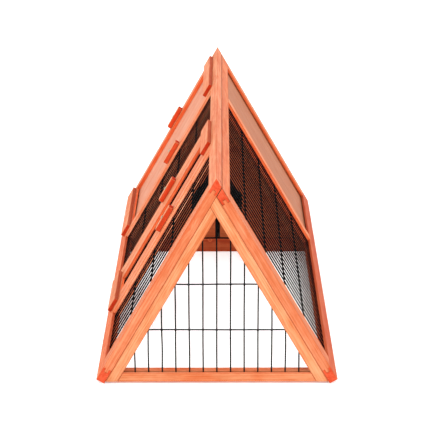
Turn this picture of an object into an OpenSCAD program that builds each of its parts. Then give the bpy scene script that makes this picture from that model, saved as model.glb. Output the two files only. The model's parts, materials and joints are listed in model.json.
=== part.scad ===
// A-frame chicken coop: two sloping sides of grooved timber on three triangular frames.
// The run has wire mesh and no floor, and the house behind the partition is boarded.
// Two lift-off doors in the left slope are held shut by turn-buttons.
//
// X runs across, Y along the ridge with the mesh end at -Y, and Z up.
// The origin is on the ground, midway between the ends and the feet.
// A slope is laid out flat: s runs down it from the ridge, y along it from the mesh end,
// and n out of it, with its outer face at n = 0.

/* [Overall] */
// Length along the ridge
coop_len = 1180; // [1000:10:1450]
// Width over the feet of the slopes
coop_w = 505; // [440:5:600]
// Length of a slope down its outer face
slope_len = 508; // [440:2:600]

/* [Frame timber] */
// Thickness of the frame timber
stock_t = 19; // [17:1:24]
// Width of the long rails
rail_w = 33; // [28:1:42]
// Timber in front of the groove
lip_t = 6; // [5:0.5:7]
// Width of the groove
groove_w = 7; // [6:0.5:8]
// Depth of the groove
groove_d = 9; // [6:0.5:12]
// Gap around a tongue in its groove
tongue_gap = 0.1; // [0.05:0.05:0.3]
// Gap left at glued butt joints
seam_gap = 0.5; // [0.2:0.1:0.8]
// Gap along the ridge between the two top rails
ridge_gap = 1.2; // [0.3:0.1:2]

/* [Left slope, from the mesh end] */
// Width of the stile at the mesh end
left_end_stile_w = 45; // [30:1:60]
// Length of the first mesh window
run_window_len = 252; // [180:2:300]
// Width of the stile before the run door
run_latch_stile_w = 37; // [34:1:50]
// Length of the run door's opening
run_door_len = 166; // [150:2:220]
// Width of the stile after the run door
run_far_stile_w = 45; // [34:1:60]
// Width of the stile before the house door
house_latch_stile_w = 40; // [34:1:55]
// Length of the house door's opening
house_door_len = 290; // [240:5:340]
// Width of the stile at the house end
left_far_stile_w = 40; // [34:1:55]

/* [Right slope, from the mesh end] */
// Width of the stile at the mesh end
right_end_stile_w = 50; // [30:1:60]
// Width of the stile between mesh and boarding
right_mid_stile_w = 35; // [28:1:50]
// Length of the boarded opening
right_board_len = 325; // [280:5:370]
// Width of the stile at the house end
right_far_stile_w = 40; // [28:1:55]

/* [Triangular frames] */
// Width of the rafters
rafter_w = 21.5; // [20:0.5:30]
// Height of the end sills' tops above the ground
end_sill_h = 24; // [20:1:40]
// Depth of the end sills from front to back
end_sill_d = 29; // [24:1:40]
// Height of the mesh end's frame above the ground
mesh_end_lift = 4.5; // [0:0.5:8]
// Height of the partition's sill's top above the ground
partition_sill_h = 34; // [24:1:50]

/* [Doors] */
// Gap around a door
door_gap = 2; // [1:0.5:4]
// Width of the run door's near stile
run_door_near_stile_w = 34; // [26:1:42]
// Width of the run door's far stile
run_door_far_stile_w = 43; // [26:1:50]
// Width of the doors' rails
door_rail_w = 24; // [20:1:34]
// Width of a batten
batten_w = 34; // [28:1:42]
// Thickness of a batten
batten_t = 9; // [7:1:14]
// Overlap of the upper batten on the top rail
upper_overlap = 7; // [5:1:12]
// Overlap of the lower batten on the bottom rail
lower_overlap = 14; // [5:1:20]
// Overlap of the run door's battens on the stiles
run_batten_overlap = 7; // [4:1:10]
// Overlap of the house door's battens on the stiles
house_batten_overlap = 12; // [4:1:14]

/* [Turn-buttons] */
// Length of a turn-button
button_len = 64; // [50:1:76]
// Width of a turn-button
button_w = 22; // [18:1:26]
// Thickness of a turn-button
button_t = 11; // [8:1:14]
// Corner cut off a turn-button
button_corner = 3; // [1:0.5:6]
// Distance of the turn-buttons down the slope
button_s = 226; // [180:2:300]
// Gap under a turn-button
button_gap = 0.4; // [0.3:0.1:1]
// Shank diameter of the button screws
screw_d = 4; // [3:0.5:5]
// Head diameter of the button screws
screw_head_d = 8; // [6:0.5:10]
// Depth of a button screw in its stile
screw_depth = 14; // [8:1:16]
// Radial gap around a button screw's shank
screw_gap = 0.05; // [0.01:0.01:0.1]

/* [Mesh and boards] */
// Diameter of the mesh wire
wire_d = 3; // [1.6:0.2:3.2]
// Spacing of the close wires
wire_pitch = 28.5; // [20:0.5:40]
// Number of wires along each mesh window
cross_wires = 4; // [2:1:6]
// Number of wires along the run door's mesh
door_cross_wires = 3; // [2:1:5]
// Spacing of the level wires in the end mesh
level_wire_pitch = 101; // [60:1:120]
// Gap between crossing wires
wire_gap = 0.05; // [0.02:0.01:0.1]
// How far mesh and boards reach into a groove
groove_reach = 7; // [4:0.5:8]
// Thickness of the boarding
board_t = 8; // [6:0.5:10]
// Depth of the boarding behind the outer face
board_recess = 9; // [7:0.5:10]
// Thickness of the boards in the triangular frames
end_board_t = 6; // [4:0.5:6.8]

/* [Doorway in the partition] */
// Width of the doorway
doorway_w = 124; // [90:2:140]
// Height of its bottom edge
doorway_bottom = 90; // [50:2:100]
// Height of its straight sides
doorway_shoulder = 150; // [110:2:160]
// Height of its peak
doorway_peak = 235; // [180:5:250]
// Width of the slot below it
slot_w = 12; // [6:1:20]

/* [Hidden] */
$fn = 48;

timber = [0.98, 0.62, 0.44];
end_timber = [0.93, 0.38, 0.2];
board_colour = [0.93, 0.66, 0.52];
dark_board = [0.78, 0.55, 0.43];
wire_colour = [0.09, 0.09, 0.1];
screw_colour = [0.7, 0.68, 0.6];
over = 1;

// slope geometry
slope_angle = acos(coop_w / 2 / slope_len);
ridge_z = slope_len * sin(slope_angle) + stock_t * cos(slope_angle);
near_y = -coop_len / 2;
// the left slope's bevelled top edge: its run across the right slope, and its inner edge
bevel_len = stock_t / sin(2 * slope_angle);
bevel_s = -stock_t / tan(2 * slope_angle);
right_top_s = bevel_len + ridge_gap / sin(2 * slope_angle);
right_rail_s = right_top_s + rail_w;
foot_rail_s = slope_len - rail_w;

// left slope layout along y
run_window_y = left_end_stile_w;
run_latch_y = run_window_y + run_window_len;
run_door_y = run_latch_y + run_latch_stile_w;
run_far_y = run_door_y + run_door_len;
mid_window_y = run_far_y + run_far_stile_w;
left_far_y = coop_len - left_far_stile_w;
house_door_y = left_far_y - house_door_len;
house_latch_y = house_door_y - house_latch_stile_w;

// right slope layout along y
right_far_y = coop_len - right_far_stile_w;
right_board_y = right_far_y - right_board_len;
right_mid_y = right_board_y - right_mid_stile_w;

// triangular frames
frame_off = stock_t + seam_gap;
inner_off = frame_off + rafter_w;
partition_y = right_board_y - stock_t;
house_end_y = coop_len - stock_t;

// doors
door_s = rail_w + door_gap;
door_end_s = foot_rail_s - door_gap;
run_leaf = [run_door_y + door_gap, run_far_y - door_gap];
house_leaf = [house_door_y + door_gap, left_far_y - door_gap];
upper_batten_s = rail_w - upper_overlap;
lower_batten_s = foot_rail_s + lower_overlap - batten_w;

// turn-buttons, each on the middle of its stile
run_near_button_y = run_latch_y + run_latch_stile_w / 2;
run_far_button_y = run_far_y + run_far_stile_w / 2;
house_near_button_y = house_latch_y + house_latch_stile_w / 2;
house_far_button_y = left_far_y + left_far_stile_w / 2;
button_reach = button_gap + button_t;

// wires lie just behind the front lip
close_wire_n = -(lip_t + wire_gap + wire_d / 2);
cross_wire_n = close_wire_n - wire_d - wire_gap;

// a tongue's end stops short of the bottom of its groove
tongue_len = groove_d - 0.5;

// height above the ground of a plane set back from a slope's outer face, at x = 0
function apex_z(off) = ridge_z - off / cos(slope_angle);
// half the width between two such planes at height z
function half_w(off, z) = (apex_z(off) - z) / tan(slope_angle);

// placement on the slopes, side -1 is the left one
module on_right() {
    translate([0, near_y, ridge_z])
        rotate([0, slope_angle, 0])
            children();
}

module on_slope(side) {
    if (side < 0) {
        mirror([1, 0, 0]) on_right() children();
    } else {
        on_right() children();
    }
}

// a block from its two corners [s, y, n]
module block(low, high) {
    translate(low) cube(high - low);
}

// an outline in s and n drawn out along y
module along_slope(y0, y1) {
    translate([0, y1, 0])
        rotate([90, 0, 0])
            linear_extrude(y1 - y0)
                children();
}

// an outline in x and z drawn out along y
module across(y0, y1) {
    translate([0, near_y, 0]) along_slope(y0, y1) children();
}

// groove along s, cut into the edge of a member at y
module stile_groove(s0, s1, y, toward) {
    edge = toward > 0 ? y - over : y - groove_d;
    block([s0, edge, -lip_t - groove_w], [s1, edge + groove_d + over, -lip_t]);
}

// section of a rail with a groove in its lower edge (dir 1) or upper edge (dir -1)
module rail_section(outline, groove_s, dir) {
    start = dir > 0 ? groove_s - groove_d : groove_s - over;
    difference() {
        polygon(outline);
        translate([start, -lip_t - groove_w]) square([groove_d + over, groove_w]);
    }
}

function rail_box(s0, s1) = [[s0, 0], [s1, 0], [s1, -stock_t], [s0, -stock_t]];

// upright member with a tongue at each end, grooved where asked
module stile(s0, s1, y0, w, near_groove, far_groove) {
    low_n = -lip_t - groove_w + tongue_gap;
    difference() {
        union() {
            block([s0, y0, -stock_t], [s1, y0 + w, 0]);
            block([s0 - tongue_len, y0, low_n], [s1 + tongue_len, y0 + w, -lip_t - tongue_gap]);
        }
        if (near_groove) stile_groove(s0 - groove_d - over, s1 + groove_d + over, y0, 1);
        if (far_groove) stile_groove(s0 - groove_d - over, s1 + groove_d + over, y0 + w, -1);
    }
}

// hole for a button screw
module screw_hole(y) {
    translate([button_s, y, -screw_depth - over])
        cylinder(d = screw_d + 2 * screw_gap, h = screw_depth + 2 * over);
}

module wire_along_s(s0, s1, y) {
    translate([s0, y, close_wire_n]) rotate([0, 90, 0]) cylinder(d = wire_d, h = s1 - s0);
}

module wire_along_y(y0, y1, s) {
    translate([s, y0, cross_wire_n]) rotate([-90, 0, 0]) cylinder(d = wire_d, h = y1 - y0);
}

// welded mesh in a window, its close wires centred and its cross wires evenly spread
module window_mesh(s0, s1, y0, y1, crosses) {
    gaps = floor((y1 - y0 - 2 * wire_d) / wire_pitch);
    first = (y0 + y1 - gaps * wire_pitch) / 2;
    for (i = [0 : gaps]) {
        wire_along_s(s0 - groove_reach, s1 + groove_reach, first + i * wire_pitch);
    }
    for (i = [1 : crosses]) {
        wire_along_y(y0 - groove_reach, y1 + groove_reach, s0 + i * (s1 - s0) / (crosses + 1));
    }
}

// board whose thinned edges run in the grooves, by reach_s and reach_y
module grooved_board(s0, s1, y0, y1, reach_s, reach_y) {
    edge_n = -lip_t - groove_w + tongue_gap;
    block([s0 + seam_gap, y0, -board_recess - board_t], [s1 - seam_gap, y1, -board_recess]);
    block([s0 - reach_s, y0 - reach_y, edge_n], [s1 + reach_s, y1 + reach_y, -board_recess]);
}

// batten over the joint between a door and a rail, on the outer face
module batten(s, leaf, overlap) {
    y0 = leaf[0] - door_gap - overlap;
    y1 = leaf[1] + door_gap + overlap;
    color(timber) on_slope(-1) block([s, y0, 0], [s + batten_w, y1, batten_t]);
}

// turn-button lying along its stile, bored for its screw
module button(y) {
    c = button_corner;
    l = button_len / 2;
    w = button_w / 2;
    color(end_timber)
        on_slope(-1)
            translate([button_s, y, button_gap])
                difference() {
                    linear_extrude(button_t)
                        polygon([
                            [-l + c, -w], [l - c, -w], [l, -w + c], [l, w - c],
                            [l - c, w], [-l + c, w], [-l, w - c], [-l, -w + c]
                        ]);
                    translate([0, 0, -over])
                        cylinder(d = screw_d + 2 * screw_gap, h = button_t + 2 * over);
                }
}

// screw through a turn-button into its stile, with a domed head
module button_screw(y) {
    head_h = screw_head_d / 4;
    color(screw_colour)
        on_slope(-1)
            translate([button_s, y, 0]) {
                translate([0, 0, -screw_depth])
                    cylinder(d = screw_d, h = screw_depth + button_reach + button_gap);
                translate([0, 0, button_reach + button_gap])
                    rotate_extrude()
                        intersection() {
                            translate([0, head_h - screw_head_d * 5 / 8])
                                circle(r = screw_head_d * 5 / 8, $fn = 96);
                            square([screw_head_d / 2, head_h]);
                        }
            }
}

// timber of a triangular frame, drawn in x and z and cut level at height base
module right_rafter_outline(base) {
    peak = [0, apex_z(frame_off)];
    mid_z = (apex_z(frame_off) + apex_z(inner_off)) / 2;
    toe = [(apex_z(inner_off) - mid_z) / tan(slope_angle), mid_z];
    polygon([peak, toe, [half_w(inner_off, base), base], [half_w(frame_off, base), base]]);
}

module left_rafter_outline(base) {
    // it stops a seam short of the right rafter's inner edge
    stop_off = inner_off + seam_gap;
    mid_z = (apex_z(frame_off) + apex_z(stop_off)) / 2;
    toe = [(apex_z(stop_off) - mid_z) / tan(slope_angle), mid_z];
    tip_z = (apex_z(inner_off) + apex_z(stop_off)) / 2;
    tip = [(apex_z(stop_off) - tip_z) / tan(slope_angle), tip_z];
    polygon([toe, tip, [-half_w(inner_off, base), base], [-half_w(frame_off, base), base]]);
}

// wedge between two planes set back by off, from height z0 up to z1
module wedge(off, z0, z1) {
    top = min(z1, apex_z(off));
    polygon([
        [-half_w(off, z0), z0], [half_w(off, z0), z0],
        [half_w(off, top), top], [-half_w(off, top), top]
    ]);
}

// groove along the inner edges of the rafters
module rafter_groove(y) {
    across(y + lip_t, y + lip_t + groove_w) wedge(inner_off - groove_d, -over, ridge_z);
}

module right_rafter(y, base) {
    color(timber)
        difference() {
            across(y, y + stock_t) right_rafter_outline(base);
            rafter_groove(y);
        }
}

module left_rafter(y, base) {
    color(timber)
        difference() {
            across(y, y + stock_t) left_rafter_outline(base);
            rafter_groove(y);
        }
}

// sill of the triangular frame at y, from height base up to h and from y0 to y1,
// with a tongue into each rafter and a groove along its top
module sill(y, y0, y1, base, h) {
    color(timber)
        difference() {
            union() {
                across(y0, y1) wedge(inner_off + seam_gap, base, h);
                across(y + lip_t + tongue_gap, y + lip_t + groove_w - tongue_gap)
                    wedge(inner_off - tongue_len, base, h);
            }
            across(y + lip_t, y + lip_t + groove_w)
                translate([-coop_w, h - groove_d]) square([2 * coop_w, groove_d + over]);
        }
}

// where a board or mesh in a triangular frame begins, and its outer edge
function frame_fill_z(sill_h) = sill_h - groove_reach;
fill_off = inner_off - groove_reach;

// half of the partition's boarding, side -1 or 1, cut out for the doorway
module partition_board(side) {
    half = doorway_w / 2;
    mid_y = partition_y + lip_t + groove_w / 2;
    color(dark_board)
        mirror([side < 0 ? 1 : 0, 0, 0])
            across(mid_y - end_board_t / 2, mid_y + end_board_t / 2)
                difference() {
                    wedge(fill_off, frame_fill_z(partition_sill_h), ridge_z);
                    translate([-coop_w, 0]) square([coop_w + seam_gap / 2, ridge_z]);
                    translate([0, partition_sill_h]) square([slot_w / 2, ridge_z]);
                    polygon([
                        [0, doorway_bottom], [half, doorway_bottom],
                        [half, doorway_shoulder], [0, doorway_peak]
                    ]);
                }
}

// left slope
module left_top_rail() {
    outline = [[0, 0], [rail_w, 0], [rail_w, -stock_t], [bevel_s, -stock_t]];
    color(timber) on_slope(-1) along_slope(0, coop_len) rail_section(outline, rail_w, 1);
}

module left_bottom_rail() {
    color(timber)
        on_slope(-1)
            along_slope(0, coop_len)
                rail_section(rail_box(foot_rail_s, slope_len), foot_rail_s, -1);
}

module left_stile(y, w, near_groove, far_groove) {
    color(timber) on_slope(-1) stile(rail_w, foot_rail_s, y, w, near_groove, far_groove);
}

module left_latch_stile(y, w, near_groove, far_groove, button_y) {
    color(timber)
        on_slope(-1)
            difference() {
                stile(rail_w, foot_rail_s, y, w, near_groove, far_groove);
                screw_hole(button_y);
            }
}

module left_end_stile() {
    left_stile(0, left_end_stile_w, false, true);
}

module left_run_latch_stile() {
    left_latch_stile(run_latch_y, run_latch_stile_w, true, false, run_near_button_y);
}

module left_run_far_stile() {
    left_latch_stile(run_far_y, run_far_stile_w, false, true, run_far_button_y);
}

module left_house_latch_stile() {
    left_latch_stile(house_latch_y, house_latch_stile_w, true, false, house_near_button_y);
}

module left_far_stile() {
    left_latch_stile(left_far_y, left_far_stile_w, false, false, house_far_button_y);
}

module left_run_mesh() {
    color(wire_colour)
        on_slope(-1)
            window_mesh(rail_w, foot_rail_s, run_window_y, run_latch_y, cross_wires);
}

module left_mid_mesh() {
    color(wire_colour)
        on_slope(-1)
            window_mesh(rail_w, foot_rail_s, mid_window_y, house_latch_y, cross_wires);
}

// right slope
module right_top_rail() {
    outline = [
        [right_top_s, 0], [right_rail_s, 0],
        [right_rail_s, -stock_t], [right_top_s + bevel_s, -stock_t]
    ];
    color(timber) on_slope(1) along_slope(0, coop_len) rail_section(outline, right_rail_s, 1);
}

module right_bottom_rail() {
    color(timber)
        on_slope(1)
            along_slope(0, coop_len)
                rail_section(rail_box(foot_rail_s, slope_len), foot_rail_s, -1);
}

module right_stile(y, w, near_groove, far_groove) {
    color(timber) on_slope(1) stile(right_rail_s, foot_rail_s, y, w, near_groove, far_groove);
}

module right_end_stile() {
    right_stile(0, right_end_stile_w, false, true);
}

module right_mid_stile() {
    right_stile(right_mid_y, right_mid_stile_w, true, true);
}

module right_far_stile() {
    right_stile(right_far_y, right_far_stile_w, true, false);
}

module right_run_mesh() {
    color(wire_colour)
        on_slope(1)
            window_mesh(right_rail_s, foot_rail_s, right_end_stile_w, right_mid_y, cross_wires);
}

module right_house_board() {
    color(dark_board)
        on_slope(1)
            grooved_board(
                right_rail_s, foot_rail_s, right_board_y + seam_gap, right_far_y - seam_gap,
                groove_reach, groove_reach
            );
}

// triangular frame at the mesh end
module mesh_end_left_rafter() {
    left_rafter(0, mesh_end_lift);
}

module mesh_end_right_rafter() {
    right_rafter(0, mesh_end_lift);
}

module mesh_end_sill() {
    sill(0, 0, end_sill_d, mesh_end_lift, end_sill_h);
}

module mesh_end_mesh() {
    low_z = frame_fill_z(end_sill_h);
    upright_y = lip_t + wire_gap + wire_d / 2;
    level_y = upright_y + wire_d + wire_gap;
    uprights = floor((half_w(inner_off, end_sill_h) - 2 * wire_d) / wire_pitch);
    levels = floor((apex_z(inner_off) - low_z - 2 * wire_d) / level_wire_pitch);
    color(wire_colour)
        translate([0, near_y, 0]) {
            for (i = [-uprights : uprights]) {
                x = i * wire_pitch;
                top = apex_z(fill_off) - (abs(x) + wire_d) * tan(slope_angle);
                translate([x, upright_y, low_z]) cylinder(d = wire_d, h = top - low_z);
            }
            for (i = [1 : levels]) {
                z = low_z + i * level_wire_pitch;
                half = half_w(fill_off, z + wire_d);
                translate([-half, level_y, z])
                    rotate([0, 90, 0])
                        cylinder(d = wire_d, h = 2 * half);
            }
        }
}

// partition between run and house
module partition_left_rafter() {
    left_rafter(partition_y, 0);
}

module partition_right_rafter() {
    right_rafter(partition_y, 0);
}

module partition_sill() {
    sill(partition_y, partition_y, partition_y + stock_t, 0, partition_sill_h);
}

module partition_left_board() {
    partition_board(-1);
}

module partition_right_board() {
    partition_board(1);
}

// closed end of the house
module house_end_left_rafter() {
    left_rafter(house_end_y, 0);
}

module house_end_right_rafter() {
    right_rafter(house_end_y, 0);
}

module house_end_sill() {
    sill(house_end_y, coop_len - end_sill_d, coop_len, 0, end_sill_h);
}

module house_end_board() {
    mid_y = house_end_y + lip_t + groove_w / 2;
    color(board_colour)
        across(mid_y - end_board_t / 2, mid_y + end_board_t / 2)
            wedge(fill_off, frame_fill_z(end_sill_h), ridge_z);
}

// doors, lying flush between the rails and stiles
module door_top_rail(leaf) {
    s1 = door_s + door_rail_w;
    color(timber)
        on_slope(-1) along_slope(leaf[0], leaf[1]) rail_section(rail_box(door_s, s1), s1, 1);
}

module door_bottom_rail(leaf) {
    s0 = door_end_s - door_rail_w;
    color(timber)
        on_slope(-1) along_slope(leaf[0], leaf[1]) rail_section(rail_box(s0, door_end_s), s0, -1);
}

module run_door_top_rail() {
    door_top_rail(run_leaf);
}

module run_door_bottom_rail() {
    door_bottom_rail(run_leaf);
}

module run_door_near_stile() {
    color(timber)
        on_slope(-1)
            stile(
                door_s + door_rail_w, door_end_s - door_rail_w,
                run_leaf[0], run_door_near_stile_w, false, true
            );
}

module run_door_far_stile() {
    color(timber)
        on_slope(-1)
            stile(
                door_s + door_rail_w, door_end_s - door_rail_w,
                run_leaf[1] - run_door_far_stile_w, run_door_far_stile_w, true, false
            );
}

module run_door_mesh() {
    color(wire_colour)
        on_slope(-1)
            window_mesh(
                door_s + door_rail_w, door_end_s - door_rail_w,
                run_leaf[0] + run_door_near_stile_w, run_leaf[1] - run_door_far_stile_w,
                door_cross_wires
            );
}

module run_door_upper_batten() {
    batten(upper_batten_s, run_leaf, run_batten_overlap);
}

module run_door_lower_batten() {
    batten(lower_batten_s, run_leaf, run_batten_overlap);
}

module house_door_top_rail() {
    door_top_rail(house_leaf);
}

module house_door_bottom_rail() {
    door_bottom_rail(house_leaf);
}

module house_door_board() {
    color(board_colour)
        on_slope(-1)
            grooved_board(
                door_s + door_rail_w, door_end_s - door_rail_w,
                house_leaf[0], house_leaf[1], groove_reach, 0
            );
}

module house_door_upper_batten() {
    batten(upper_batten_s, house_leaf, house_batten_overlap);
}

module house_door_lower_batten() {
    batten(lower_batten_s, house_leaf, house_batten_overlap);
}

// turn-buttons and their screws
module run_near_button() {
    button(run_near_button_y);
}

module run_far_button() {
    button(run_far_button_y);
}

module house_near_button() {
    button(house_near_button_y);
}

module house_far_button() {
    button(house_far_button_y);
}

module run_near_screw() {
    button_screw(run_near_button_y);
}

module run_far_screw() {
    button_screw(run_far_button_y);
}

module house_near_screw() {
    button_screw(house_near_button_y);
}

module house_far_screw() {
    button_screw(house_far_button_y);
}

left_top_rail();
left_bottom_rail();
left_end_stile();
left_run_latch_stile();
left_run_far_stile();
left_house_latch_stile();
left_far_stile();
left_run_mesh();
left_mid_mesh();
right_top_rail();
right_bottom_rail();
right_end_stile();
right_mid_stile();
right_far_stile();
right_run_mesh();
right_house_board();
mesh_end_left_rafter();
mesh_end_right_rafter();
mesh_end_sill();
mesh_end_mesh();
partition_left_rafter();
partition_right_rafter();
partition_sill();
partition_left_board();
partition_right_board();
house_end_left_rafter();
house_end_right_rafter();
house_end_sill();
house_end_board();
run_door_top_rail();
run_door_bottom_rail();
run_door_near_stile();
run_door_far_stile();
run_door_mesh();
run_door_upper_batten();
run_door_lower_batten();
house_door_top_rail();
house_door_bottom_rail();
house_door_board();
house_door_upper_batten();
house_door_lower_batten();
run_near_button();
run_far_button();
house_near_button();
house_far_button();
run_near_screw();
run_far_screw();
house_near_screw();
house_far_screw();
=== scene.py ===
"""Looks of the triangular chicken coop: stained timber, boards, welded mesh and screws."""

import json
import math
import random

import bmesh
import bpy
import numpy as np
from mathutils import Matrix, Vector

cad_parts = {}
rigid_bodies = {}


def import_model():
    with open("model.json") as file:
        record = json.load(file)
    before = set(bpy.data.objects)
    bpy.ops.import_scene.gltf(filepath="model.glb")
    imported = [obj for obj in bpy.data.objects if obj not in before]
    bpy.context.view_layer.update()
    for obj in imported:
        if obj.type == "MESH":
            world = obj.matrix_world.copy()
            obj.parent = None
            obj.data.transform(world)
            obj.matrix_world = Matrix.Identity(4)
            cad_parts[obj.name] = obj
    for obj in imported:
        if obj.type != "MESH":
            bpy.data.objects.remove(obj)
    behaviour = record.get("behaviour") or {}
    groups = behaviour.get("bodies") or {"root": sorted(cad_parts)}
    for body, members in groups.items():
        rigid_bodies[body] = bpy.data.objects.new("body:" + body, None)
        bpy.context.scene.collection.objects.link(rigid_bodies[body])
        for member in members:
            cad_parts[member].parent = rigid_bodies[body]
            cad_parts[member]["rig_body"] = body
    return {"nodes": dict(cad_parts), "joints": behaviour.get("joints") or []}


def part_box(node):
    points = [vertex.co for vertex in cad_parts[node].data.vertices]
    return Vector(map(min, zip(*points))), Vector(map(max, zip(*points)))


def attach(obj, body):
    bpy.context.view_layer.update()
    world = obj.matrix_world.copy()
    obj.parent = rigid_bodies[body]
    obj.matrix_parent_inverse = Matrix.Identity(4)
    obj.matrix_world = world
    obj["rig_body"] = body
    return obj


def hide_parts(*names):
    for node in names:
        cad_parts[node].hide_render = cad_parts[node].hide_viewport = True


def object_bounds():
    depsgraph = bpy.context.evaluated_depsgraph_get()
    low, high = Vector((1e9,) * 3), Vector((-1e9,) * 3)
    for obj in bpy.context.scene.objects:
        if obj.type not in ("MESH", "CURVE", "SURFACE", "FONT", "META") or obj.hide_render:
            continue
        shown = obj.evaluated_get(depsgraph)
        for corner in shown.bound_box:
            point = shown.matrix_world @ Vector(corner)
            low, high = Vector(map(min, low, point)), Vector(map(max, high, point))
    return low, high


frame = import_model()
cad_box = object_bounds()

MM = 0.001
FLOAT_GAP = 0.01 * MM  # CAD corners closer than this are one corner
X, Y, Z = Vector((1, 0, 0)), Vector((0, 1, 0)), Vector((0, 0, 1))
NEAR = -Y

# the doors are drawn out along the left slope's outward normal
lift = next(j for j in frame["joints"] if j["name"] == "run_door_lift")
LEFT_OUT = Vector(lift["axis"]).normalized()
LEFT_DOWN = Vector((-LEFT_OUT.z, 0, LEFT_OUT.x))
MIRROR = Matrix.Diagonal((-1, 1, 1))
RIGHT_OUT = MIRROR @ LEFT_OUT
RIGHT_DOWN = MIRROR @ LEFT_DOWN


def srgb(red, green, blue):
    """Linear colour from display values 0 to 255."""
    def linear(value):
        value /= 255
        return value / 12.92 if value <= 0.04045 else ((value + 0.055) / 1.055) ** 2.4
    return (linear(red), linear(green), linear(blue), 1.0)


def scaled(colour, factor):
    """A colour times a factor; over 1 it is a painted light, for a face that reads as bright while
    it is in shade.
    """
    return tuple(part * factor for part in colour[:3]) + (1.0,)


# ---------------------------------------------------------------- node trees
class Tree:
    """Short calls that add nodes; an input may be a plain value or another node's socket."""

    def __init__(self, tree):
        self.nodes, self.links = tree.nodes, tree.links

    def feed(self, socket, value):
        if isinstance(value, bpy.types.NodeSocket):
            self.links.new(value, socket)
        else:
            socket.default_value = value

    def add(self, kind, inputs=None, **settings):
        node = self.nodes.new(kind)
        for name, value in settings.items():
            setattr(node, name, value)
        for name, value in (inputs or {}).items():
            self.feed(node.inputs[name], value)
        return node

    def math(self, operation, *values, clamp=False):
        node = self.add("ShaderNodeMath", dict(enumerate(values)), operation=operation,
                        use_clamp=clamp)
        return node.outputs[0]

    def vector(self, operation, *values):
        node = self.add("ShaderNodeVectorMath", dict(enumerate(values)), operation=operation)
        return node.outputs["Value" if operation in ("DOT_PRODUCT", "LENGTH") else "Vector"]

    def mix(self, factor, first, second, blend="MIX"):
        node = self.add("ShaderNodeMix", {0: factor, 6: first, 7: second},
                        data_type="RGBA", blend_type=blend)
        return node.outputs[2]

    def ramp(self, value, low, high, to_low=0.0, to_high=1.0):
        node = self.add("ShaderNodeMapRange", {0: value, 1: low, 2: high, 3: to_low, 4: to_high},
                        interpolation_type="SMOOTHSTEP")
        return node.outputs[0]

    def noise(self, vector, scale, detail=2.0, roughness=0.5):
        node = self.add("ShaderNodeTexNoise", {"Vector": vector, "Scale": scale,
                                               "Detail": detail, "Roughness": roughness})
        return node.outputs[0]

    def stretched(self, vector, factors):
        return self.vector("MULTIPLY", vector, factors)


# ---------------------------------------------------------------- the wood itself
TINTED = ("Face", "Edge", "End", "Inner")
COLOURS = TINTED + ("Deep", "Rim")
AMOUNTS = ("Figure", "Knots", "Rimmed")

# how fast each pattern changes along, across and through the log, per metre
CROOK, WOBBLE, FIBRE = (1.7, 9, 9), (4, 60, 60), (16, 620, 620)
STREAK, BAND = (5, 150, 150), (2.2, 30, 30)
BLOTCH, DRIFT = (28, 60, 60), (13, 48, 48)

# how far fibres, streaks, bands and blotches darken the wood
FIBRE_SHADE, STREAK_SHADE, BAND_SHADE, BLOTCH_SHADE = 1.3, 1.7, 0.9, 1.0
SHADE_MIDDLE = 0.46  # the noise value that neither darkens nor lightens

RING_WIDTH = 4.6 * MM
PITH_CROOK = 16 * MM
PITH_TILT = 0.012  # metres out per metre along
KNOT_SWELL = 6 * MM  # how far a knot pushes the rings aside
PLANER_PITCH = 3.1 * MM
BUMP_DEPTH = 0.5 * MM

KNOT_BARK, KNOT_HEART = srgb(190, 88, 50), srgb(112, 48, 28)
REDDER, PALER = (0.98, 0.84, 0.74, 1), (1.0, 1.10, 1.14, 1)


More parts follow.
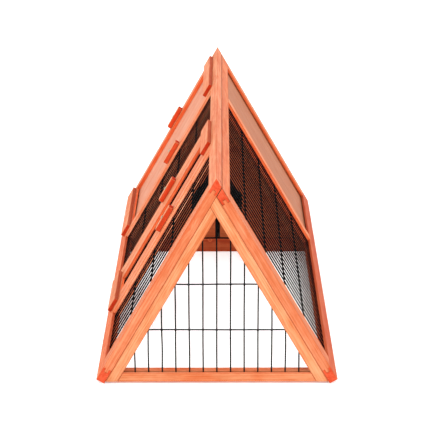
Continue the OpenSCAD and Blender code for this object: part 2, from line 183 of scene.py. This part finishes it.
def wood_group():
    """Solid timber: growth rings about a pith, fibres, bands, knots, end grain, worn edges and a
    painted shade on faces turned into the coop.
    """
    group = bpy.data.node_groups.new("solid_wood", "ShaderNodeTree")
    vectors = ("Along", "Across", "Out", "Centre", "Half", "Pith")
    for name in vectors:
        group.interface.new_socket(name, in_out="INPUT", socket_type="NodeSocketVector")
    for name in COLOURS:
        group.interface.new_socket(name, in_out="INPUT", socket_type="NodeSocketColor")
    for name in AMOUNTS:
        group.interface.new_socket(name, in_out="INPUT", socket_type="NodeSocketFloat")
    group.interface.new_socket("Color", in_out="OUTPUT", socket_type="NodeSocketColor")
    group.interface.new_socket("Roughness", in_out="OUTPUT", socket_type="NodeSocketFloat")
    group.interface.new_socket("Normal", in_out="OUTPUT", socket_type="NodeSocketVector")

    t = Tree(group)
    given = t.add("NodeGroupInput").outputs
    place = t.add("ShaderNodeTexCoord")
    local = t.vector("SUBTRACT", place.outputs["Object"], given["Centre"])
    parts = [t.vector("DOT_PRODUCT", local, given[axis]) for axis in vectors[:3]]
    in_piece = t.add("ShaderNodeCombineXYZ", dict(enumerate(parts))).outputs[0]
    grain = t.vector("ADD", in_piece, given["Pith"])

    # knots are small balls scattered through the log, and the rings flow round them
    knots = t.add("ShaderNodeTexVoronoi", {"Vector": t.stretched(grain, (0.8, 1, 1)),
                                           "Scale": 14.0})
    knot_far = knots.outputs["Distance"]
    swell = t.ramp(knot_far, 0.34, 0.02, 0.0, KNOT_SWELL)

    # growth rings: distance from a slightly crooked, slightly tilted pith
    bend = t.math("MULTIPLY", t.noise(t.stretched(grain, CROOK), 1.0, 2.0), PITH_CROOK)
    split = t.add("ShaderNodeSeparateXYZ", {0: grain}).outputs
    tilt = t.math("MULTIPLY", split[0], PITH_TILT)
    flat = t.add("ShaderNodeCombineXYZ", {1: split[1], 2: split[2]}).outputs[0]
    radius = t.math("ADD", t.vector("LENGTH", flat), bend)
    radius = t.math("ADD", t.math("ADD", radius, tilt), swell)
    wobble = t.noise(t.stretched(grain, WOBBLE), 1.0, 2.0)
    phase = t.math("ADD", t.math("DIVIDE", radius, RING_WIDTH), wobble)
    ring = t.math("FRACT", phase)
    late = t.math("MULTIPLY", t.math("POWER", ring, 3.0), t.ramp(ring, 1.0, 0.93))

    fibre = t.noise(t.stretched(grain, FIBRE), 1.0, 3.0, 0.6)
    streak = t.noise(t.stretched(grain, STREAK), 1.0, 2.0)
    band = t.noise(t.stretched(grain, BAND), 1.0, 2.0)
    blotch = t.noise(t.stretched(grain, BLOTCH), 1.0, 4.0, 0.6)

    # which way the surface faces: the piece's end, its edge or the coop's inside, which takes a
    # painted shade
    normal = place.outputs["Normal"]
    facing = [t.math("ABSOLUTE", t.vector("DOT_PRODUCT", normal, given[axis]))
              for axis in vectors[:2]]
    end_mask = t.ramp(facing[0], 0.72, 0.92)
    edge_mask = t.ramp(facing[1], 0.6, 0.92)
    # faces turned into the coop get the Inner colour, a painted shade
    inner_shade_mask = t.ramp(t.vector("DOT_PRODUCT", normal, given["Out"]), -0.6, -0.92)

    # how far a point is from the nearest edge of the piece's own box
    inset = t.vector("SUBTRACT", given["Half"], t.vector("ABSOLUTE", in_piece))
    a, b, c = t.add("ShaderNodeSeparateXYZ", {0: inset}).outputs
    from_edge = t.math("MAXIMUM", t.math("MINIMUM", a, b),
                       t.math("MINIMUM", t.math("MAXIMUM", a, b), c))
    rough_line = t.math("MULTIPLY_ADD", t.noise(grain, 160.0, 3.0), 3.4 * MM, -1.0 * MM)
    rim = t.ramp(t.math("SUBTRACT", from_edge, rough_line), 1.1 * MM, 0.1 * MM)
    rim = t.math("MULTIPLY", rim, given["Rimmed"])
    pooled = t.math("MULTIPLY", t.ramp(from_edge, 6 * MM, 1 * MM), blotch)

    base = t.mix(edge_mask, given["Face"], given["Edge"])
    base = t.mix(inner_shade_mask, base, given["Inner"])
    base = t.mix(end_mask, base, given["End"])
    # the stain takes redder in some stretches of the log and paler in others
    drift = t.noise(t.stretched(grain, DRIFT), 1.0, 4.0, 0.62)
    flush = t.math("MULTIPLY", t.ramp(drift, 0.47, 0.68), given["Figure"])
    pale = t.math("MULTIPLY", t.ramp(drift, 0.50, 0.32), given["Figure"])
    base = t.mix(flush, base, t.mix(1.0, base, REDDER, "MULTIPLY"))
    base = t.mix(pale, base, t.mix(1.0, base, PALER, "MULTIPLY"))

    # late wood, fibres, streaks, bands, blotches and pooled stain deepen the colour
    shade = t.math("MULTIPLY_ADD", late, 0.45, 0.06)
    for source, weight in ((fibre, FIBRE_SHADE), (streak, STREAK_SHADE), (band, BAND_SHADE),
                           (blotch, BLOTCH_SHADE)):
        part = t.math("MULTIPLY_ADD", source, weight, -weight * SHADE_MIDDLE)
        shade = t.math("ADD", shade, part)
    shade = t.math("ADD", shade, t.math("MULTIPLY", pooled, 0.22))
    shade = t.math("MULTIPLY", shade, given["Figure"], clamp=True)
    deep = t.mix(1.0, base, given["Deep"], "MULTIPLY")
    colour = t.mix(shade, base, deep)
    colour = t.mix(rim, colour, given["Rim"])

    # a knot's bark, then its darker heart
    knot_rim = t.math("MULTIPLY", t.ramp(knot_far, 0.085, 0.055), given["Knots"])
    knot_eye = t.math("MULTIPLY", t.ramp(knot_far, 0.055, 0.025), given["Knots"])
    colour = t.mix(t.math("MULTIPLY", knot_rim, 0.6), colour, KNOT_BARK)
    colour = t.mix(t.math("MULTIPLY", knot_eye, 0.85), colour, KNOT_HEART)

    # late wood is smoother, end grain and worn edges are rougher
    rough = t.math("MULTIPLY_ADD", blotch, 0.16, 0.60)
    rough = t.math("MULTIPLY_ADD", late, -0.10, rough)
    rough = t.math("MULTIPLY_ADD", end_mask, 0.14, rough)
    rough = t.math("MULTIPLY_ADD", rim, 0.12, rough)

    # fibres and late wood stand proud, with a planer's faint waves; a knot's heart is sunk
    planed = t.math("SINE", t.math("MULTIPLY", split[0], 2 * math.pi / PLANER_PITCH))
    height = t.math("MULTIPLY_ADD", fibre, 0.75, t.math("MULTIPLY", late, 0.35))
    height = t.math("MULTIPLY_ADD", planed, 0.03, height)
    height = t.math("MULTIPLY_ADD", knot_eye, -0.5, height)
    bump = t.add("ShaderNodeBump", {"Strength": 0.45, "Distance": BUMP_DEPTH,
                                    "Height": height})

    out = t.add("NodeGroupOutput")
    for name, socket in (("Color", colour), ("Roughness", rough), ("Normal", bump.outputs[0])):
        t.links.new(socket, out.inputs[name])
    return group


def new_material(name, colour):
    """A new material, its tree and its surface's inputs; the colour is for plain previews."""
    material = bpy.data.materials.new(name)
    material.diffuse_color = colour
    material.use_nodes = True
    t = Tree(material.node_tree)
    return material, t, t.nodes["Principled BSDF"].inputs


# ---------------------------------------------------------------- timber
# Face, Edge and End: the stain on a piece's wide faces, edges and end grain; on some pieces they
# also hold painted light and painted shade, as noted at each recipe. Inner: a painted shade on the
# face turned into the coop. Deep: what the stain is multiplied by in its darkest grain. Rim: a
# worn arris; on the right top rail, a painted shade along the ridge seam. Figure, Knots and
# Rimmed: the strength of the grain, the knots and the wear (on the right top rail, of that painted
# shade). Bevel: mm.
# FRAME's Edge is a painted light: the stain brightened 1.4 times, so edges standing in shade read
# bright
FRAME = {"Face": srgb(252, 160, 112), "Edge": scaled(srgb(250, 120, 70), 1.4),
         "End": srgb(246, 100, 62), "Inner": srgb(196, 100, 58), "Deep": (0.80, 0.56, 0.42, 1),
         "Rim": srgb(222, 104, 60), "Figure": 1.4, "Knots": 1.0, "Rimmed": 0.5, "Bevel": 0.8}
NEAR_FRAME = {**FRAME, "Face": srgb(255, 173, 122), "Edge": srgb(252, 156, 110), "Bevel": 0.4}
END_STILE = {**NEAR_FRAME, "Face": srgb(244, 148, 98)}
# NEAR_SILL's Edge, the sill's top, is a painted light: brightened 1.25 times for a top in shade
NEAR_SILL = {**FRAME, "Face": srgb(254, 164, 114), "Edge": scaled(srgb(246, 146, 100), 1.25)}
LEFT_RIDGE = {**FRAME, "Face": srgb(252, 160, 114), "Edge": srgb(250, 152, 108)}
# RIGHT_RIDGE's dark Edge and its dark, strong Rim are a painted shade along the ridge seam
RIGHT_RIDGE = {**FRAME, "Face": srgb(250, 148, 96), "Edge": srgb(120, 48, 26),
               "Rim": srgb(170, 72, 40), "Rimmed": 0.9, "Bevel": 1.1}
LEFT_FOOT = {**FRAME, "Face": srgb(248, 138, 84), "Edge": srgb(226, 104, 62)}
RIGHT_FOOT = {**FRAME, "Face": srgb(224, 102, 50), "Edge": srgb(224, 102, 58)}
# LATCH's Edge is a painted light: brightened 1.65 times, so these stiles' edges read bright in
# shade
LATCH = {**FRAME, "Edge": scaled(srgb(250, 164, 124), 1.65)}
# DOOR_FOOT's darker Face is a painted shade: the shadow of the batten on the house door's bottom
# rail
DOOR_FOOT = {**FRAME, "Face": srgb(214, 106, 66)}
# the partition stands inside the coop: PARTITION's darker Face is a painted shade and its paler
# Edge a painted light where light falls through the mesh; PARTITION_SILL's darker colours are a
# painted shade
PARTITION = {**FRAME, "Face": srgb(204, 116, 74), "Edge": srgb(240, 160, 110), "Bevel": 0.7}
PARTITION_SILL = {**PARTITION, "Face": srgb(186, 84, 46), "Edge": srgb(170, 74, 40),
                  "End": srgb(150, 52, 28)}
BATTEN = {**FRAME, "Edge": srgb(224, 112, 72), "End": srgb(230, 72, 34), "Bevel": 0.9}
# BUTTON's Edge is a painted light: brightened 1.25 times
BUTTON = {**FRAME, "Edge": scaled(srgb(240, 88, 46), 1.25), "End": srgb(238, 74, 36),
          "Knots": 0.0, "Bevel": 1.2}
# BOARD's dark Inner is a painted shade on the boards' faces turned into the coop
BOARD = {**FRAME, "Inner": srgb(104, 56, 36), "Knots": 0.0, "Bevel": 0.5}
PINK_BOARD = {**BOARD, "Face": srgb(248, 170, 136), "Deep": (0.76, 0.62, 0.54, 1),
              "Figure": 1.2}
TAN_BOARD = {**BOARD, "Face": srgb(206, 130, 92), "Edge": srgb(206, 112, 72),
             "Deep": (0.78, 0.68, 0.62, 1), "Figure": 0.9}
# DARK_BOARD, for the partition's boards inside the coop, is a painted shade: darker than the house
# boards
DARK_BOARD = {**TAN_BOARD, "Face": srgb(190, 92, 50), "Deep": (0.62, 0.52, 0.46, 1)}

RECIPES = {
    "house_door_board": PINK_BOARD,
    "house_end_board": PINK_BOARD,
    "right_house_board": TAN_BOARD,
    "partition_sill": PARTITION_SILL,
    "house_door_bottom_rail": DOOR_FOOT,
    "mesh_end_sill": NEAR_SILL,
    "left_bottom_rail": LEFT_FOOT,
    "right_bottom_rail": RIGHT_FOOT,
    "left_top_rail": LEFT_RIDGE,
    "right_top_rail": RIGHT_RIDGE,
    "left_house_latch_stile": LATCH,
    "left_run_latch_stile": LATCH,
    "left_run_far_stile": LATCH,
}
RECIPES_BY_END = {"button": BUTTON, "batten": BATTEN, "board": DARK_BOARD,
                  "end_stile": END_STILE}
RECIPES_BY_START = {"partition": PARTITION, "mesh_end": NEAR_FRAME}

# each piece's own place in its log, in metres, and its own tint
PITH_ALONG, PITH_AWAY = (-9, 9), (0.035, 0.10)
TONE, WARMTH = (0.595, 0.62), (0.975, 1.025)


def recipe_for(name):
    """The recipe of a timber node: by its whole name, by its end or by its start."""
    if name in RECIPES:
        return RECIPES[name]
    for ending, recipe in RECIPES_BY_END.items():
        if name.endswith(ending):
            return recipe
    for start, recipe in RECIPES_BY_START.items():
        if name.startswith(start):
            return recipe
    return FRAME


def grain_axes(name):
    """Unit vectors along the grain, across it and out of the piece's wide face."""
    down, out = (RIGHT_DOWN, RIGHT_OUT) if "right" in name else (LEFT_DOWN, LEFT_OUT)
    face = Y if name.startswith("house_end") else NEAR
    if name.endswith("rafter"):
        return down, out, face
    if name.endswith("sill") or name == "house_end_board" or name.startswith("partition"):
        return X, Z, face
    if name.endswith(("rail", "batten")):
        return Y, down, out
    return down, Y, out


def grain_box(node, axes):
    """Centre and half size of a CAD node, measured along its grain axes."""
    points = np.array([vertex.co for vertex in node.data.vertices])
    spans = [points @ np.array(axis) for axis in axes]
    middle = [(span.min() + span.max()) / 2 for span in spans]
    centre = sum((axis * at for axis, at in zip(axes, middle)), Vector((0, 0, 0)))
    return centre, Vector([(span.max() - span.min()) / 2 for span in spans])


def timber_material(name, node, recipe, group, rng):
    """Every piece is cut from its own place in the log, and is a little lighter or darker."""
    axes = grain_axes(name)
    centre, half = grain_box(node, axes)
    turn = rng.uniform(0, 2 * math.pi)
    away = rng.uniform(*PITH_AWAY)
    pith = Vector((rng.uniform(*PITH_ALONG), away * math.cos(turn), away * math.sin(turn)))
    tone = rng.uniform(*TONE)
    warm = rng.uniform(*WARMTH)

    material, t, surface = new_material(name + "_stain", recipe["Face"])
    values = dict(zip(("Along", "Across", "Out"), axes), Centre=centre, Half=half, Pith=pith)
    for key in TINTED:
        red, green, blue, alpha = recipe[key]
        values[key] = (min(red * tone, 1.0), green * tone * warm, blue * tone * warm, alpha)
    values["Rim"] = scaled(recipe["Rim"], tone)
    for key in ("Deep",) + AMOUNTS:
        values[key] = recipe[key]
    wood = t.add("ShaderNodeGroup", node_tree=group)
    for key, value in values.items():
        wood.inputs[key].default_value = value
    t.links.new(wood.outputs["Color"], surface["Base Color"])
    t.links.new(wood.outputs["Roughness"], surface["Roughness"])
    t.links.new(wood.outputs["Normal"], surface["Normal"])
    surface["Specular IOR Level"].default_value = 0.10
    return material


def ease_edges(node, width):
    """Joins the CAD mesh's split corners, drops its spare edges and rounds its arrises."""
    weld = node.modifiers.new("weld", "WELD")
    weld.merge_threshold = FLOAT_GAP
    plane = node.modifiers.new("plane", "DECIMATE")
    plane.decimate_type = "DISSOLVE"
    plane.angle_limit = math.radians(0.5)
    ease = node.modifiers.new("ease", "BEVEL")
    ease.width = width
    ease.segments = 3
    ease.limit_method = "ANGLE"
    ease.angle_limit = math.radians(35)
    ease.miter_outer = "MITER_ARC"
    ease.use_clamp_overlap = False
    shade = node.modifiers.new("shade", "WEIGHTED_NORMAL")
    shade.weight = 100


# ---------------------------------------------------------------- pieces made in mesh code
def make_piece(name, node_name, mesh, material):
    """Shows a new piece in the place of a CAD node, on that node's body."""
    piece = bpy.data.objects.new(name, mesh)
    bpy.context.scene.collection.objects.link(piece)
    mesh.materials.append(material)
    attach(piece, frame["nodes"][node_name]["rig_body"])
    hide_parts(node_name)
    return piece


def solid_parts(mesh):
    """The separate solids in a CAD mesh, as arrays of their points."""
    keys = [tuple(round(value / FLOAT_GAP) for value in vertex.co) for vertex in mesh.vertices]
    parent = {key: key for key in keys}

    def root(key):
        while parent[key] != key:
            parent[key] = parent[parent[key]]
            key = parent[key]
        return key

    for face in mesh.polygons:
        first = root(keys[face.vertices[0]])
        for index in face.vertices[1:]:
            parent[root(keys[index])] = first
    groups = {}
    for key, vertex in zip(keys, mesh.vertices):
        groups.setdefault(root(key), []).append(tuple(vertex.co))
    return [np.array(points) for _, points in sorted(groups.items())]


# a wire's bows: their size in mm, and how many waves there are along the wire
BOWS = (((0.1, 0.5), (0.4, 1.1)), ((0.03, 0.10), (2, 5)))
CUT_SIZE, CUT_LENGTH = 0.72, 0.3  # an eased cut end, by the wire's radius
FUSED_GAP = 1.2 * MM  # bowed wires no farther apart than this are welded
NUGGET_REACH, NUGGET_DEPTH = (1.5, 1.8), 1.25  # by the wire's radius


class Wire:
    """A drawn wire between two points, bowed a little in the plane of its mesh."""

    def __init__(self, points, plane_normal, rng):
        middle = points.mean(axis=0)
        axis = np.linalg.svd(points - middle)[2][0]
        along = (points - middle) @ axis
        self.start = Vector(middle + axis * along.min())
        self.axis = Vector(axis)
        self.length = along.max() - along.min()
        off = points - middle - np.outer(along, axis)
        self.radius = float(np.linalg.norm(off, axis=1).max())
        self.side = self.axis.cross(plane_normal).normalized()
        self.waves = [(rng.uniform(*size) * MM, rng.uniform(*turns), rng.uniform(0, 6.28))
                      for size, turns in BOWS]

    def at(self, distance):
        """The wire's centre at a distance from its start; its ends stay where they are."""
        share = distance / self.length
        fade = math.sin(math.pi * min(max(share, 0.0), 1.0)) ** 0.5
        bow = sum(size * math.sin(turns * 2 * math.pi * share + phase)
                  for size, turns, phase in self.waves)
        return self.start + self.axis * distance + self.side * bow * fade


def add_wire(bm, wire, sides=10, step=11 * MM):
    """A closed tube along the wire, with its cut ends eased."""
    count = max(4, round(wire.length / step))
    stops = [wire.length * i / count for i in range(count + 1)]
    ease = wire.radius * CUT_LENGTH
    rows = [(stops[0], CUT_SIZE), (ease, 1.0)]
    rows += [(stop, 1.0) for stop in stops[1:-1]]
    rows += [(wire.length - ease, 1.0), (stops[-1], CUT_SIZE)]
    up = wire.axis.cross(wire.side)
    rings = []
    for distance, size in rows:
        centre = wire.at(distance)
        ring = []
        for k in range(sides):
            angle = 2 * math.pi * k / sides
            reach = wire.side * math.cos(angle) + up * math.sin(angle)
            ring.append(bm.verts.new(centre + reach * wire.radius * size))
        rings.append(ring)
    for low, high in zip(rings, rings[1:]):
        for k in range(sides):
            bm.faces.new((low[k], low[(k + 1) % sides], high[(k + 1) % sides], high[k]))
    bm.faces.new(reversed(rings[0]))
    bm.faces.new(rings[-1])


def crossing(first, second):
    """Distances along two wires to where they cross, or None where they don't touch."""
    gap = second.start - first.start
    level = first.axis.dot(second.axis)
    spread = 1 - level * level
    if spread < 0.2:  # nearly parallel
        return None
    on_first = (gap.dot(first.axis) - gap.dot(second.axis) * level) / spread
    on_second = on_first * level - gap.dot(second.axis)
    if not (0 < on_first < first.length and 0 < on_second < second.length):
        return None
    apart = (first.at(on_first) - second.at(on_second)).length
    if apart > first.radius + second.radius + FUSED_GAP:
        return None
    return on_first, on_second


def add_weld(bm, centre, axes, sizes):
    """A rounded nugget where two wires are fused."""
    place = Matrix.LocRotScale(centre, Matrix(axes).transposed(), Vector(sizes))
    belts, around = 6, 10
    top, bottom = bm.verts.new(place @ Z), bm.verts.new(place @ -Z)
    rings = []
    for i in range(1, belts):
        polar = math.pi * i / belts
        rings.append([
            bm.verts.new(place @ Vector((math.sin(polar) * math.cos(2 * math.pi * k / around),
                                         math.sin(polar) * math.sin(2 * math.pi * k / around),
                                         math.cos(polar))))
            for k in range(around)
        ])
    for k in range(around):
        after = (k + 1) % around
        bm.faces.new((top, rings[0][k], rings[0][after]))
        bm.faces.new((bottom, rings[-1][after], rings[-1][k]))
        for high, low in zip(rings, rings[1:]):
            bm.faces.new((high[k], low[k], low[after], high[after]))


def wire_mesh(name, plane_normal, rng):
    """A welded mesh: its bowed wires, and a nugget at each crossing."""
    node = frame["nodes"][name]
    wires = [Wire(points, plane_normal, rng) for points in solid_parts(node.data)]
    bm = bmesh.new()
    for wire in wires:
        add_wire(bm, wire)
    for i, first in enumerate(wires):
        for second in wires[i + 1:]:
            found = crossing(first, second)
            if found:
                middle = (first.at(found[0]) + second.at(found[1])) / 2
                reach = first.radius * rng.uniform(*NUGGET_REACH)
                axes = (first.axis, first.axis.cross(plane_normal), plane_normal)
                add_weld(bm, middle, axes, (reach, reach, first.radius * NUGGET_DEPTH))
    for face in bm.faces:
        face.smooth = True
    mesh = bpy.data.meshes.new(name)
    bm.to_mesh(mesh)
    bm.free()
    return mesh


def wire_material():
    """Black powder coat with a faint orange-peel surface and a little dust."""
    material, t, surface = new_material("black_coat", (0.01, 0.01, 0.011, 1))
    place = t.add("ShaderNodeTexCoord").outputs["Object"]
    patches = t.noise(place, 60.0, 3.0)
    dust = t.ramp(t.noise(place, 420.0, 3.0), 0.64, 0.82, 0.0, 0.22)
    black = t.mix(patches, srgb(3, 3, 4), srgb(13, 12, 13))
    t.feed(surface["Base Color"], t.mix(dust, black, srgb(40, 32, 28)))
    t.feed(surface["Roughness"], t.math("MULTIPLY_ADD", patches, 0.22, 0.40))
    peel = t.noise(place, 1500.0, 2.0)
    bump = t.add("ShaderNodeBump", {"Strength": 0.3, "Distance": 0.2 * MM, "Height": peel})
    t.feed(surface["Normal"], bump.outputs[0])
    surface["Specular IOR Level"].default_value = 0.02
    return material


HEAD_RADIUS, HEAD_HEIGHT = 4.0 * MM, 2.0 * MM  # as on the CAD screw
DOME_SPREAD = 1.04  # the dome would come down to nothing this much past the head's rim
RECESS_REACH, RECESS_HALF, RECESS_DEPTH = 2.1 * MM, 0.42 * MM, 1.1 * MM
RECESS_WALL, RECESS_END = 0.12 * MM, 0.5 * MM  # how wide its sloping sides and ends are
SHANK_RADIUS, TIP_LENGTH = 2.0 * MM, 2.5 * MM
TIP_SIZE = 0.2  # by the shank's radius


def recess(x, y):
    """Depth of a screw's cross recess, deepest in the middle."""
    share = 0.0
    for along, across in ((x, y), (y, x)):
        inside = min((RECESS_HALF - abs(across)) / RECESS_WALL,
                     (RECESS_REACH - abs(along)) / RECESS_END, 1.0)
        share = max(share, inside)
    return share * RECESS_DEPTH


def screw_mesh(name, axis):
    """A domed screw head with a cross recess, on a shank down to the CAD screw's tip."""
    node = frame["nodes"][name]
    points = np.array([vertex.co for vertex in node.data.vertices])
    height = points @ np.array(axis)
    tip, top = height.min(), height.max()
    seat = top - HEAD_HEIGHT
    rim = points[np.abs(height - seat) < 0.05 * MM]
    centre = Vector((rim.max(axis=0) + rim.min(axis=0)) / 2)
    centre -= axis * (centre.dot(axis) - seat)
    side = axis.cross(Y).normalized()
    other = axis.cross(side)

    bm = bmesh.new()
    spokes, steps = 64, 16
    peak = bm.verts.new(centre + axis * (HEAD_HEIGHT - recess(0, 0)))
    rings = []
    for i in range(1, steps + 1):
        radius = HEAD_RADIUS * i / steps
        fall = radius / (HEAD_RADIUS * DOME_SPREAD)
        dome = HEAD_HEIGHT * math.sqrt(max(0.0, 1 - fall ** 2))
        ring = []
        for k in range(spokes):
            angle = 2 * math.pi * k / spokes
            x, y = radius * math.cos(angle), radius * math.sin(angle)
            ring.append(bm.verts.new(centre + side * x + other * y
                                     + axis * max(dome - recess(x, y), 0.0)))
        rings.append(ring)
    bottom = tip - seat
    for radius, level in ((HEAD_RADIUS, 0.0), (SHANK_RADIUS, 0.0),
                          (SHANK_RADIUS, bottom + TIP_LENGTH), (SHANK_RADIUS * TIP_SIZE, bottom)):
        rings.append([
            bm.verts.new(centre + side * radius * math.cos(2 * math.pi * k / spokes)
                         + other * radius * math.sin(2 * math.pi * k / spokes) + axis * level)
            for k in range(spokes)
        ])
    for k in range(spokes):
        bm.faces.new((peak, rings[0][k], rings[0][(k + 1) % spokes]))
    for low, high in zip(rings, rings[1:]):
        for k in range(spokes):
            bm.faces.new((low[k], high[k], high[(k + 1) % spokes], low[(k + 1) % spokes]))
    bm.faces.new(reversed(rings[-1]))
    bmesh.ops.remove_doubles(bm, verts=bm.verts, dist=0.002 * MM)
    bmesh.ops.recalc_face_normals(bm, faces=bm.faces)
    for face in bm.faces:
        face.smooth = True
    mesh = bpy.data.meshes.new(name)
    bm.to_mesh(mesh)
    bm.free()
    return mesh


def screw_material():
    """Zinc plating, dulled, with a yellowish tint and darker film in places."""
    material, t, surface = new_material("zinc_plate", srgb(172, 166, 142))
    place = t.add("ShaderNodeTexCoord").outputs["Object"]
    film = t.noise(place, 900.0, 3.0)
    spots = t.ramp(t.noise(place, 2600.0, 2.0), 0.58, 0.72)
    plate = t.mix(film, srgb(128, 124, 104), srgb(196, 190, 166))
    t.feed(surface["Base Color"], t.mix(t.math("MULTIPLY", spots, 0.5), plate, srgb(96, 84, 62)))
    t.feed(surface["Roughness"], t.math("MULTIPLY_ADD", film, 0.25, 0.28))
    bump = t.add("ShaderNodeBump", {"Strength": 0.2, "Distance": 0.1 * MM, "Height": spots})
    t.feed(surface["Normal"], bump.outputs[0])
    surface["Metallic"].default_value = 0.85
    return material


# ---------------------------------------------------------------- dressing the coop
def dress():
    """Stains every timber node and shows wires and screws in the place of the CAD's plain ones."""
    rng = random.Random(11)
    group = wood_group()
    coat, zinc = wire_material(), screw_material()
    planes = {"left": LEFT_OUT, "right": RIGHT_OUT, "mesh_end": Y, "run_door": LEFT_OUT}
    for name in sorted(frame["nodes"]):
        node = frame["nodes"][name]
        if name.endswith("_mesh"):
            plane = next(axis for start, axis in planes.items() if name.startswith(start))
            mesh = wire_mesh(name, plane, rng)
            make_piece(name.replace("_mesh", "_wires"), name, mesh, coat)
        elif name.endswith("_screw"):
            make_piece(name + "_detail", name, screw_mesh(name, LEFT_OUT), zinc)
        else:
            recipe = recipe_for(name)
            material = timber_material(name, node, recipe, group, rng)
            for slot in node.material_slots:
                slot.material = material
            ease_edges(node, recipe["Bevel"] * MM)


# ---------------------------------------------------------------- studio
FLOOR_HALF = 20  # metres
FLOOR_GLOW = 0.2
FLOOR_DROP = 0.2 * MM
HOUSE_INSET = 30 * MM  # the painted shade on the floor under the house stops this far inside it, so no edge of it shows
WORLD_LIGHT = 1.6
LAMP_SIZE = 2.2  # metres across
LAMPS = {"key": ((-2.7, -3.0, 2.4), 34), "fill": ((2.9, -2.8, 2.4), 29)}  # place, watts
CAMERA_PLACE = (0.01055, -3.5669, 1.39605)  # metres
CAMERA_YAW, CAMERA_PITCH, CAMERA_ROLL = -0.260, 18.967, -0.168  # degrees; pitch is downwards
SENSOR, LENS = 36, 130.86  # mm


def add_light(name, place, target, power):
    light = bpy.data.lights.new(name, "AREA")
    light.shape = "DISK"
    light.size = LAMP_SIZE
    light.energy = power
    thing = bpy.data.objects.new(name, light)
    bpy.context.scene.collection.objects.link(thing)
    thing.location = place
    thing.rotation_euler = (target - thing.location).to_track_quat("-Z", "Y").to_euler()


def floor_material(high):
    """White paint that glows a little, as a light table does; inside the closed house it does not
    glow and is painted dark, a painted shade.
    """
    material, t, surface = new_material("floor_paint", (0.9, 0.9, 0.9, 1))
    place = t.add("ShaderNodeTexCoord").outputs["Object"]
    pale = t.mix(t.noise(place, 3.0, 3.0), srgb(250, 250, 250), srgb(253, 253, 253))
    # 1 where the house stands: past the partition, short of its end and between its feet
    split = t.add("ShaderNodeSeparateXYZ", {0: place}).outputs
    past = t.math("GREATER_THAN", split[1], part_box("partition_sill")[1][1])
    short = t.math("LESS_THAN", split[1], high.y - HOUSE_INSET)
    within = t.math("LESS_THAN", t.math("ABSOLUTE", split[0]), high.x - HOUSE_INSET)
    house = t.math("MULTIPLY", t.math("MULTIPLY", past, short), within)
    # under the house the floor's colour is a painted shade: darker, and without the glow
    t.feed(surface["Base Color"], t.mix(house, pale, srgb(120, 112, 106)))
    t.feed(surface["Emission Strength"], t.math("MULTIPLY_ADD", house, -FLOOR_GLOW, FLOOR_GLOW))
    surface["Emission Color"].default_value = (1, 1, 1, 1)
    surface["Roughness"].default_value = 0.9
    surface["Specular IOR Level"].default_value = 0.1
    return material


def add_floor(low, high):
    bm = bmesh.new()
    bmesh.ops.create_grid(bm, x_segments=8, y_segments=8, size=FLOOR_HALF)
    mesh = bpy.data.meshes.new("studio_floor")
    bm.to_mesh(mesh)
    bm.free()
    mesh.materials.append(floor_material(high))
    floor = bpy.data.objects.new("studio_floor", mesh)
    bpy.context.scene.collection.objects.link(floor)
    floor.location.z = low.z - FLOOR_DROP


def add_camera():
    """The photograph's camera."""
    camera = bpy.data.objects.new("camera", bpy.data.cameras.new("camera"))
    bpy.context.scene.collection.objects.link(camera)
    camera.data.sensor_width = SENSOR
    camera.data.lens = LENS
    yaw, pitch, roll = map(math.radians, (CAMERA_YAW, CAMERA_PITCH, CAMERA_ROLL))
    aim = Vector((math.sin(yaw) * math.cos(pitch), math.cos(yaw) * math.cos(pitch),
                  -math.sin(pitch)))
    right = Vector((math.cos(yaw), -math.sin(yaw), 0))
    up = right.cross(aim)
    tilted_right = right * math.cos(roll) + up * math.sin(roll)
    tilted_up = up * math.cos(roll) - right * math.sin(roll)
    turn = Matrix((tilted_right, tilted_up, -aim)).transposed()
    camera.matrix_world = Matrix.LocRotScale(Vector(CAMERA_PLACE), turn, None)
    bpy.context.scene.camera = camera


def studio():
    """The floor, a white sky, two soft lamps and the camera."""
    low, high = Vector(cad_box[0]), Vector(cad_box[1])
    add_floor(low, high)
    world = bpy.data.worlds.new("studio")
    world.use_nodes = True
    sky = world.node_tree.nodes["Background"].inputs
    sky["Color"].default_value = (1, 1, 1, 1)
    sky["Strength"].default_value = WORLD_LIGHT
    bpy.context.scene.world = world
    for name, (place, power) in LAMPS.items():
        add_light(name, place, (low + high) / 2, power)
    add_camera()
    bpy.context.scene.view_settings.view_transform = "Standard"
    bpy.context.scene.view_settings.look = "None"


dress()
studio()

bpy.context.view_layer.update()
